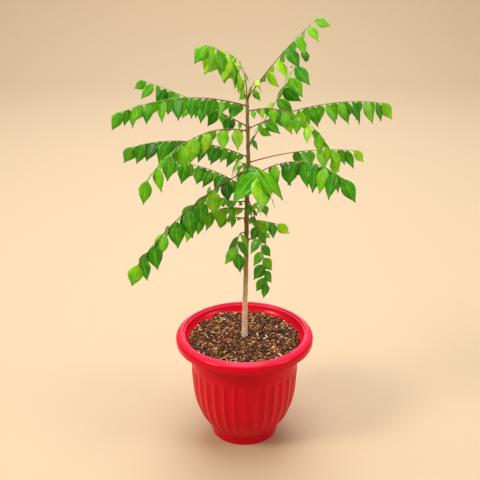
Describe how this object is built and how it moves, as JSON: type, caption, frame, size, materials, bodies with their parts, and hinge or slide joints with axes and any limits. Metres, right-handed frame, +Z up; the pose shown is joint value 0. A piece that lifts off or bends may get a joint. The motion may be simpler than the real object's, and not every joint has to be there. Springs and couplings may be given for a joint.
{
  "type": "curry leaf plant in a pot",
  "caption": "Young curry leaf plant with arching pinnate fronds on a slim woody trunk, rooted in soil in a fluted red plastic planter with a rolled lip.",
  "frame": {"origin": "centre of the planter's flat base, on the surface it stands on", "axes": "+Z up the trunk, -Y towards the viewer, +X to the viewer's right"},
  "size_m": [0.4743, 0.3077, 0.7671],
  "materials": {
    "red_plastic": "glossy moulded polypropylene",
    "potting_soil": null,
    "bark": "thin pale brown bark",
    "leaf": null
  },
  "bodies": {
    "root": {"pot": "red_plastic", "soil": "potting_soil", "trunk": "bark", "frond_crown_right": "leaf", "frond_crown_left": "leaf", "frond_crown_back": "leaf", "frond_crown_young": "leaf", "frond_left_high": "leaf", "frond_right_arching": "leaf", "frond_left_back": "leaf", "frond_right_high": "leaf", "frond_left_front": "leaf", "frond_right_back": "leaf", "frond_left_mid": "leaf", "frond_right_mid": "leaf", "frond_front": "leaf", "frond_left_low": "leaf", "frond_right_front": "leaf", "frond_back_mid": "leaf", "frond_left_inner": "leaf", "frond_hanging_right": "leaf", "frond_left_lower_back": "leaf", "frond_left_lower": "leaf", "frond_back_low": "leaf", "frond_left_twig": "leaf", "frond_right_twig": "leaf", "frond_hanging_left": "leaf", "frond_lowest_sprig": "leaf"}
  },
  "joints": []
}
